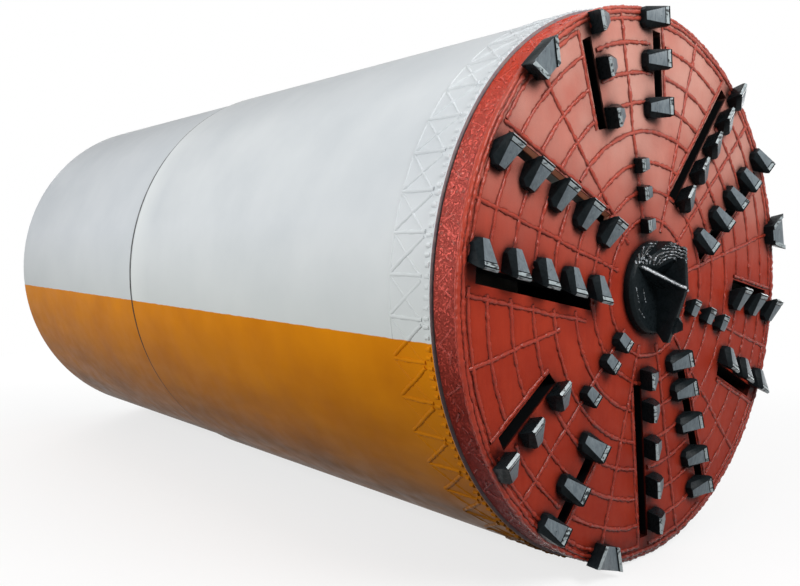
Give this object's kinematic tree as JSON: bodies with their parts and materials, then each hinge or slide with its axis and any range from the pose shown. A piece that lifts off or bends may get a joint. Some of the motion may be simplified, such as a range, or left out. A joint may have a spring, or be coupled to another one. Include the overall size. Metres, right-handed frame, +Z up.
{
  "type": "pipe jacking shield machine",
  "caption": "Soft ground pipe jacking shield: flat slotted cutterhead with drag bits and a fishtail, articulated front and rear shields, steering cylinders, open tail.",
  "frame": {"origin": "on the floor, under the middle of the overall box; the machine's axis is 1.220 m above it", "axes": "+Z up, +Y along the machine's axis from the cutterhead to the tail, +X to the right seen from the front"},
  "size_m": [2.44, 5.007, 2.44],
  "materials": {
    "cabinet_enamel": "pale grey powder coat, satin",
    "chromed_rod": "hard chrome, polished",
    "cutter_steel": "black enamel on forged bits, gloss",
    "drive_enamel": "blue-grey machine enamel, satin",
    "floor_steel": "bare chequer plate, worn",
    "inner_enamel": "pale grey primer, satin",
    "motor_enamel": "dark grey enamel, satin",
    "pin_steel": "turned steel, oiled",
    "pipe_enamel": "blue pipe enamel, satin",
    "red_enamel": "red enamel over weld beads, gloss",
    "seal_rubber": "black seal rubber, matt",
    "shell_enamel": "light grey enamel with an orange lower part, gloss"
  },
  "bodies": {
    "front_shield": {"front_shell": "shell_enamel", "front_bulkhead": "inner_enamel", "manhole_cover": "inner_enamel", "drive_housing": "drive_enamel", "drive_gearboxes": "drive_enamel", "drive_motors": "motor_enamel", "front_slurry_pipes": "pipe_enamel", "slurry_valves": "cabinet_enamel", "front_pipe_saddles": "pipe_enamel", "front_floor": "floor_steel", "front_spigot": "inner_enamel", "steering_barrels": "motor_enamel", "barrel_lugs": "inner_enamel", "barrel_pins": "pin_steel"},
    "cutterhead": {"cutterhead_hub": "red_enamel", "cutterhead_spokes": "red_enamel", "cutterhead_panels": "red_enamel", "cutterhead_rim": "red_enamel", "spoke_cutters_1": "cutter_steel", "spoke_cutters_2": "cutter_steel", "spoke_cutters_3": "cutter_steel", "spoke_cutters_4": "cutter_steel", "spoke_cutters_5": "cutter_steel", "spoke_cutters_6": "cutter_steel", "pilot_cutters": "cutter_steel", "gauge_cutters": "cutter_steel", "centre_boss": "cutter_steel", "centre_blade": "cutter_steel"},
    "seal_ring": {"articulation_seal": "seal_rubber"},
    "rear_shield": {"rear_shell": "shell_enamel", "thrust_ring": "inner_enamel", "rear_ring_frame": "inner_enamel", "laser_target": "inner_enamel", "rear_floor": "floor_steel", "control_cabinet": "cabinet_enamel", "hydraulic_tank": "cabinet_enamel", "pump_unit": "motor_enamel", "rear_slurry_pipes": "pipe_enamel", "rear_pipe_saddles": "pipe_enamel", "rod_lugs": "inner_enamel", "rod_pins": "pin_steel"},
    "rod_top": {"steering_rod_top": "chromed_rod"},
    "rod_left": {"steering_rod_left": "chromed_rod"},
    "rod_bottom": {"steering_rod_bottom": "chromed_rod"},
    "rod_right": {"steering_rod_right": "chromed_rod"}
  },
  "joints": [
    {"name": "cutterhead_spin", "type": "hinge", "parent": "front_shield", "child": "cutterhead", "pos_m": [0, -1.7635, 1.22], "axis": [0, 1, 0], "continuous": true},
    {"name": "steer_pitch", "type": "hinge", "parent": "front_shield", "child": "seal_ring", "pos_m": [0, 0.4065, 1.22], "axis": [1, 0, 0], "range_deg": [-2, 2]},
    {"name": "steer_yaw", "type": "hinge", "parent": "seal_ring", "child": "rear_shield", "pos_m": [0, 0.4065, 1.22], "axis": [0, 0, 1], "range_deg": [-2, 2]},
    {"name": "rod_top_slide", "type": "slide", "parent": "front_shield", "child": "rod_top", "axis": [0, 1, 0], "range_m": [-0.0336, 0.0336]},
    {"name": "rod_bottom_slide", "type": "slide", "parent": "front_shield", "child": "rod_bottom", "axis": [0, 1, 0], "range_m": [-0.0336, 0.0336]},
    {"name": "rod_right_slide", "type": "slide", "parent": "front_shield", "child": "rod_right", "axis": [0, 1, 0], "range_m": [-0.0336, 0.0336]},
    {"name": "rod_left_slide", "type": "slide", "parent": "front_shield", "child": "rod_left", "axis": [0, 1, 0], "range_m": [-0.0336, 0.0336]}
  ],
  "couplings": [
    {"joint": "rod_top_slide", "follows": "steer_pitch", "m_per_rad": -0.96},
    {"joint": "rod_bottom_slide", "follows": "steer_pitch", "m_per_rad": 0.96},
    {"joint": "rod_right_slide", "follows": "steer_yaw", "m_per_rad": 0.96},
    {"joint": "rod_left_slide", "follows": "steer_yaw", "m_per_rad": -0.96}
  ]
}
